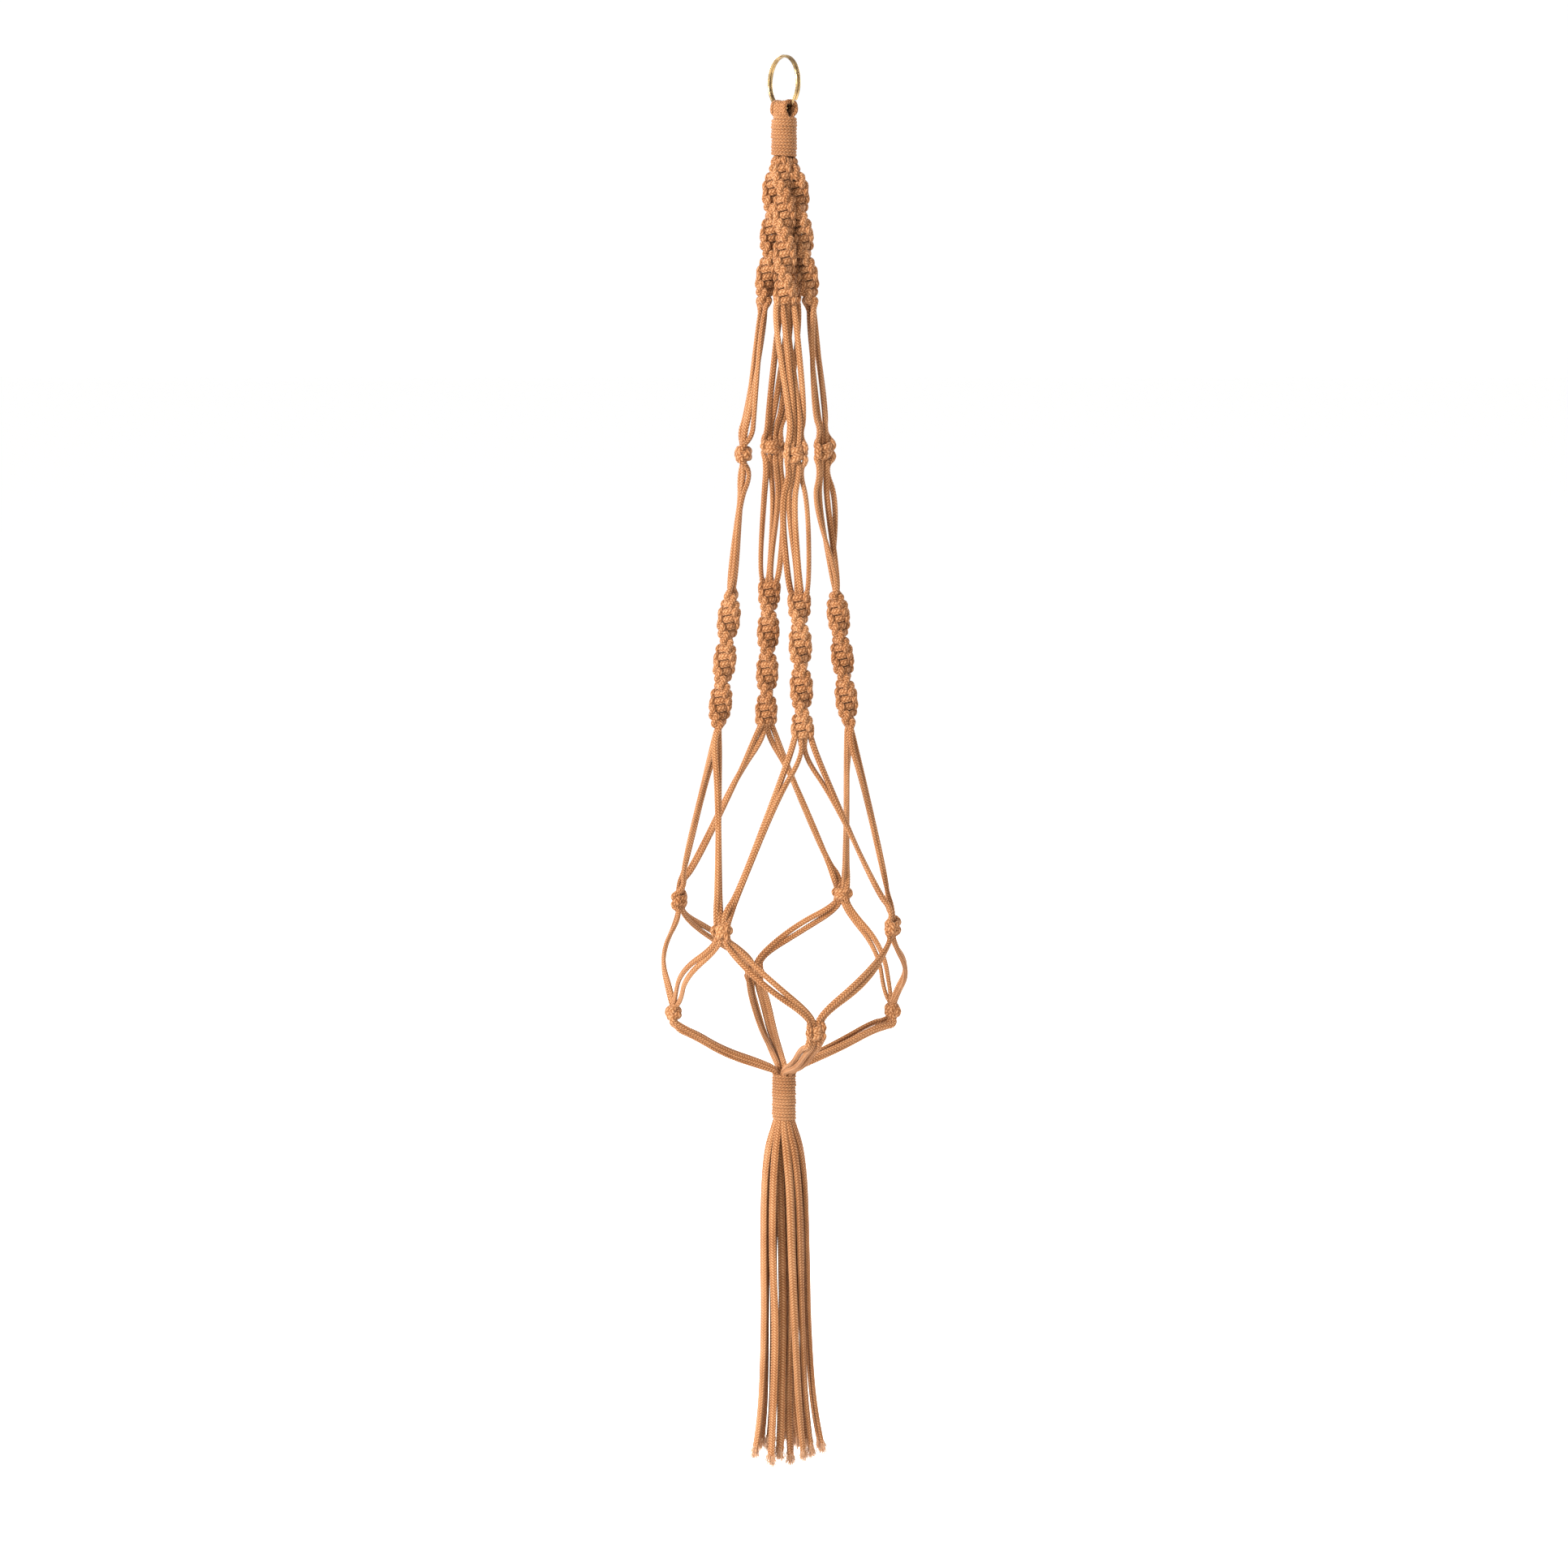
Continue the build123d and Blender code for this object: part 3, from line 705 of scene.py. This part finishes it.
def upper_axis(azimuth, rise):
    """The upper sinnet's axis bows out: a parabola through its top, middle and bottom."""
    top, _, _ = station(azimuth, UPPER_TOP, 0, UPPER_LEAN[0])
    mid, _, _ = station(azimuth, UPPER_MID, 0, UPPER_LEAN[1])
    bottom, _, _ = station(azimuth, UPPER_BOTTOM, rise, UPPER_LEAN[2])
    heights = [top[2], mid[2], bottom[2]]
    fit_x = np.polyfit(heights, [top[0], mid[0], bottom[0]], 2)
    fit_y = np.polyfit(heights, [top[1], mid[1], bottom[1]], 2)

    def axis(height):
        inside = np.clip(height, bottom[2] - 2, top[2] + 2)
        return np.stack([np.polyval(fit_x, inside), np.polyval(fit_y, inside), height], axis=-1)

    return axis


def straight_axis(top, bottom):
    def axis(height):
        share = (top[2] - height) / (top[2] - bottom[2])
        flat = top[None, :] + (bottom - top)[None, :] * share[:, None]
        return np.stack([flat[:, 0], flat[:, 1], height], axis=-1)

    return axis


def gathered(line):
    """Draws the top of a sinnet's line in, so that it comes out of the wrap above it."""
    share = np.clip((TOP_WRAP_BOTTOM + 2.0 - line[:, 2]) / 19.0, 0, 1)
    squeeze = 0.5 + 0.5 * np.sin(share * pi / 2)
    return line * np.stack([squeeze, squeeze, np.ones(len(line))], axis=1)


# How far each of an arm's four ends bows to the right, above and below its middle knot.
UPPER_BOW = {
    "right": (-2.3, -0.8, 0.4, 0.4),
    "back": (3.4, 2.7, 0.9, 0.5),
    "left": (0.0, 0.0, 0.6, 3.0),
    "front": (3.0, 2.0, 2.6, 2.5),
}
MIDDLE_BOW = {
    "right": (-7.5, -5.0, -2.0, 4.0),
    "back": (4.0, 4.0, 3.0, 0.2),
    "left": (0.5, 0.0, -0.5, -1.0),
    "front": (-5.5, -5.0, -4.0, 2.5),
}

arms = {}
for arm, azimuth in ARM_AZIMUTHS.items():
    upper_place = station(azimuth, UPPER_MID, 0, UPPER_LEAN[1])
    bottom_height = UPPER_BOTTOM[2] + UPPER_BOTTOM_RISE[arm]
    axis = upper_axis(azimuth, UPPER_BOTTOM_RISE[arm])
    upper = sinnet_lines(
        axis,
        upper_place,
        UPPER_TOP[2],
        bottom_height,
        UPPER_HALF_TURN,
        UPPER_PHASE_HEIGHT,
        neck=UPPER_NECK,
        lead=UPPER_LEAD,
    )
    upper = ([gathered(line) for line in upper[0]], [gathered(line) for line in upper[1]], upper[2])
    make_sinnet(f"upper_sinnet_{arm}", upper, axis)

    knot_place = station(azimuth, MIDDLE_KNOT_SEAT, MIDDLE_RISE[arm], turn=MIDDLE_KNOT_TURN[arm])
    middle = knot_lines(knot_place, 6.7, 3.2, 6.2)
    make_knot(f"middle_knot_{arm}", knot_place, middle)

    low_top = station(azimuth, LOWER_TOP, LOWER_TOP_RISE[arm])
    low_bottom = station(azimuth, LOWER_BOTTOM, LOWER_BOTTOM_RISE[arm])
    low_axis = straight_axis(low_top[0], low_bottom[0])
    start, stop = low_top[0][2], low_bottom[0][2]
    lower = sinnet_lines(low_axis, low_top, start, stop, LOWER_HALF_TURN, LOWER_PHASE_HEIGHT)
    make_sinnet(f"lower_sinnet_{arm}", lower, low_axis)

    across = knot_place[1]
    leaving = in_order(ends_of(upper, True), across)
    entering = in_order(knot_ends(middle, False), across)
    make_strands(f"upper_strands_{arm}", bowed_runs(leaving, entering, 0.8, UPPER_BOW[arm]))

    leaving = in_order(knot_ends(middle, True), low_top[1])
    entering = in_order(ends_of(lower, False), low_top[1])
    make_strands(f"middle_strands_{arm}", bowed_runs(leaving, entering, 0.3, MIDDLE_BOW[arm]))
    arms[arm] = {"low_ends": in_order(ends_of(lower, True), low_bottom[1])}

# ---------------------------------------------------------------- cradle
cradle = {}
for index, name in enumerate(CRADLE_ORDER):
    azimuth = ARM_AZIMUTHS[ARM_ORDER[index]]
    place = station(azimuth, CRADLE_SEAT, CRADLE_RISE[name])
    lines = knot_lines(place, 5.4, 3.0, 4.9)
    make_knot(f"cradle_knot_{name}", place, lines)
    cradle[name] = (in_order(knot_ends(lines, False), place[1]), in_order(knot_ends(lines, True), place[1]))

base = {}
base_place = {}
for arm, azimuth in ARM_AZIMUTHS.items():
    place = station(azimuth, BASE_SEAT, BASE_RISE[arm])
    base_place[arm] = place
    lines = knot_lines(place, 5.4, 3.0, 4.9)
    make_knot(f"base_knot_{arm}", place, lines)
    base[arm] = (in_order(knot_ends(lines, False), place[1]), in_order(knot_ends(lines, True), place[1]))

PAIR_SPREAD = 1.7
for index, arm in enumerate(ARM_ORDER):
    before, after = CRADLE_ORDER[index - 1], CRADLE_ORDER[index]
    ends = arms[arm]["low_ends"]
    targets = [cradle[before][0][2], cradle[before][0][3], cradle[after][0][0], cradle[after][0][1]]
    lines = []
    for seat, (begin, finish) in enumerate(zip(ends, targets)):
        run = unit(finish[0] - begin[0])
        apart = unit(np.cross(run, begin[0] * np.array([1.0, 1.0, 0.0])))
        side = 1.0 if seat % 2 else -1.0
        shift = apart * side * PAIR_SPREAD
        through = [begin[0] + (finish[0] - begin[0]) * share + shift for share in (0.3, 0.85)]
        lines.append(run_line(begin, finish, through=through))
    make_strands(f"cradle_strands_{arm}", lines)

BULGE_SEATS = [(-2.7, -1.9), (2.7, 1.9)]
for index, name in enumerate(CRADLE_ORDER):
    arm_before, arm_after = ARM_ORDER[index], ARM_ORDER[(index + 1) % 4]
    azimuth = ARM_AZIMUTHS[arm_before]
    lines = []
    for seat, arm, low, turn, side in (
        (0, arm_before, 2, 22.5, 0),
        (1, arm_before, 3, 22.5, 1),
        (2, arm_after, 0, 67.5, 0),
        (3, arm_after, 1, 67.5, 1),
    ):
        lift = (CRADLE_RISE[name] + BASE_RISE[arm]) / 2
        bulge = station(azimuth, (POT_BULGE_RADIUS + 1.5, ARM_TURN + turn, POT_BULGE_HEIGHT), lift)
        across, up = BULGE_SEATS[side]
        slope = -1 if turn < 45 else 1
        middle = at(bulge, across, 0, up * slope)
        lines.append(run_line(cradle[name][1][seat], base[arm][0][low], through=[middle], lead=5.0))
    make_strands(f"net_strands_{name}", lines)

GATHER_MID = [(-5.1, -1.7), (-2.2, 1.9), (2.2, 1.9), (5.1, -1.7)]
GATHER_END = [(-2.4, -2.4), (-2.2, 2.0), (2.2, 2.4), (2.4, -2.0)]
for arm, azimuth in ARM_AZIMUTHS.items():
    lines = []
    for seat, ((mid_along, mid_drop), (end_along, end_drop)) in enumerate(zip(GATHER_MID, GATHER_END)):
        begin, way = base[arm][1][seat]
        bow_place = station(azimuth, (70.0, ARM_TURN, -703.5), BASE_RISE[arm] * 0.5)
        bow = at(bow_place, mid_along * 1.25, 0, -mid_drop)
        middle = at(station(azimuth, (45.0, ARM_TURN, -719.5)), mid_along, 0, -mid_drop)
        near = at(station(azimuth, (15.0, ARM_TURN, -731.0)), end_along, 0, -end_drop * 0.7)
        mouth = at(station(azimuth, (5.0, ARM_TURN, -736.0)), end_along * 0.9, end_drop * 0.4)
        inside = at(station(azimuth, (4.0, ARM_TURN, -750.0)), end_along * 0.6, end_drop * 0.3)
        flare = begin + way * 5 + base_place[arm][1] * mid_along * 0.45
        lines.append(spline_points([begin - way, flare, bow, middle, near, mouth, inside]))
    piece = make_strands(f"gather_strands_{arm}", lines, body=None)
    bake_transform(piece)


# ---------------------------------------------------------------- wraps
def coil_line(turns, top, bottom, radius, slant=0.0, start=0.0):
    """A close coil with slightly uneven turns, tucked in at both ends."""
    steps = np.linspace(0, turns * 2 * pi, int(turns * 2 * pi * radius / 0.62))
    share = steps / steps[-1]
    wobble = 0.16 * np.sin(steps * 0.31 + start) + 0.12 * np.sin(steps * 0.83) + 0.10 * np.sin(steps * 1.37)
    tuck = np.clip(np.minimum(share, 1 - share) * turns / 0.5, 0, 1)
    reach = (radius + wobble * 0.9) * (0.55 + 0.45 * tuck**0.5)
    angle = steps + start
    height = top + (bottom - top) * share + slant * np.sin(angle) + wobble * 0.6
    return np.stack([reach * np.cos(angle), reach * np.sin(angle), height], axis=1)


def make_wrap(name, line, width, thickness, body):
    cords = Tubes()
    facing = line.copy()
    facing[:, 2] = 0
    cords.add(line, width=width, thickness=thickness, facing=facing, relief=0.16)
    piece = cords.make(f"{name}_coil", cotton)
    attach(piece, body)
    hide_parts(name)


top_coil = coil_line(12.2, TOP_WRAP_TOP - 1.2, TOP_WRAP_BOTTOM + 1.2, 7.55, start=2.4)
make_wrap("top_wrap", top_coil, 2.65, 3.3, "harness")
bottom_coil = coil_line(15.6, GATHER_HEIGHT - 1.0, BOTTOM_WRAP_MOUTH + 1.2, 7.5, slant=-1.0, start=1.2)
make_wrap("bottom_wrap", bottom_coil, 2.5, 3.3, "gather_wrap")


# ---------------------------------------------------------------- loops over the ring
def make_loops():
    """Eight squeezed cords over the ring, side by side, that clear it as it tilts."""
    cords = Tubes()
    for index in range(8):
        offset = (index - 3.5) * 2.3
        rise = RING_RADIUS - sqrt(RING_RADIUS**2 - offset**2)
        half = max(2.35, rise + 1.3) + 1.35
        crown = half + rng.uniform(-0.1, 0.35)
        foot = sqrt(max(4.0, 7.2**2 - offset**2)) * 0.8
        right_side = [
            (half * 0.85, crown * 1.02), (half * 1.08, 1.0), (half * 1.06, -2.4),
            (foot, -5.2), (foot * 0.7, -12.0),
        ]
        left_side = [(-out, up) for out, up in reversed(right_side)]
        profile = [*left_side, (0.0, crown * 1.14), *right_side]
        skew = rng.uniform(-0.25, 0.25)
        controls = []
        for out, up in profile:
            squeeze = 1.0 if up > -3 else 0.86
            place = RING_TANGENT * (offset * squeeze + skew) + RING_AXIS * out
            controls.append(place + UP * (RING_BOTTOM + up))
        line = spline_points(controls, spacing=0.6)
        hub = np.array([0.0, 0.0, RING_BOTTOM - 1.0]) + RING_TANGENT * offset
        cords.add(line, width=2.7, thickness=2.9, facing=line - hub)
    piece = cords.make("cord_loops_cords", cotton)
    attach(piece, "harness")
    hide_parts("cord_loops")


make_loops()


# ---------------------------------------------------------------- ring
def make_ring():
    """A split ring: one turn, a jog across, and a second turn beside the first."""
    stop = RING_JOG_START + 360.0
    angle = np.radians(np.linspace(RING_JOG_START + RING_JOG_ANGLE, stop + 360.0, 640))
    jog = np.clip((np.degrees(angle) - stop) / RING_JOG_ANGLE, 0, 1)
    across = RING_TURN_PITCH * (jog * jog * (3 - 2 * jog) - 0.5)
    flat = np.cos(angle)[:, None] * RING_TANGENT + np.sin(angle)[:, None] * np.cross(RING_AXIS, RING_TANGENT)
    line = flat * RING_RADIUS + RING_AXIS * across[:, None] + UP * RING_CENTRE
    cords = Tubes()
    cords.add(line, width=RING_WIRE, facing=flat, relief=0.0, sides=24)
    piece = cords.make("hanging_ring_wire", brass)
    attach(piece, "ring")
    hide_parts("hanging_ring")


make_ring()


# ---------------------------------------------------------------- floor and light
def pale_material(name, colour, roughness):
    material = bpy.data.materials.new(name)
    material.use_nodes = True
    shader = material.node_tree.nodes["Principled BSDF"]
    shader.inputs["Base Color"].default_value = colour
    shader.inputs["Roughness"].default_value = roughness
    return material


def add_stage():
    """A plain pale floor, well below the tassel."""
    mesh = bpy.data.meshes.new("floor")
    level = -1.32
    corners = [(-30, -30, level), (30, -30, level), (30, 30, level), (-30, 30, level)]
    mesh.from_pydata(corners, [], [(0, 1, 2, 3)])
    mesh.materials.append(pale_material("pale_floor", (0.97, 0.97, 0.965, 1), 0.95))
    floor = bpy.data.objects.new("floor", mesh)
    bpy.context.collection.objects.link(floor)
    floor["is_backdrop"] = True


def add_light(name, place, size, power, colour=(1.0, 1.0, 1.0)):
    """A soft square light aimed at the middle of the planter."""
    data = bpy.data.lights.new(name, "AREA")
    data.size = size
    data.energy = power
    data.color = colour
    light = bpy.data.objects.new(name, data)
    light.location = place
    aim = Vector((0.0, 0.0, -0.5)) - light.location
    light.rotation_euler = aim.to_track_quat("-Z", "Y").to_euler()
    bpy.context.collection.objects.link(light)


def add_world():
    world = bpy.data.worlds.new("studio")
    world.use_nodes = True
    background = world.node_tree.nodes["Background"]
    background.inputs["Color"].default_value = (1.0, 1.0, 1.0, 1)
    background.inputs["Strength"].default_value = 1.03
    bpy.context.scene.world = world


add_stage()
add_light("key", (-2.0, -1.7, 0.7), 0.7, 165.0, (1.0, 0.98, 0.95))
add_light("fill", (1.8, -1.6, 0.1), 1.6, 8.0)
add_light("left_rim", (-1.6, 2.1, 0.7), 1.2, 60.0, (1.0, 0.98, 0.95))
add_light("back", (1.9, 1.9, 0.5), 1.2, 60.0, (1.0, 0.98, 0.95))
add_world()
bpy.context.scene.view_settings.view_transform = "Standard"

low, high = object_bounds()
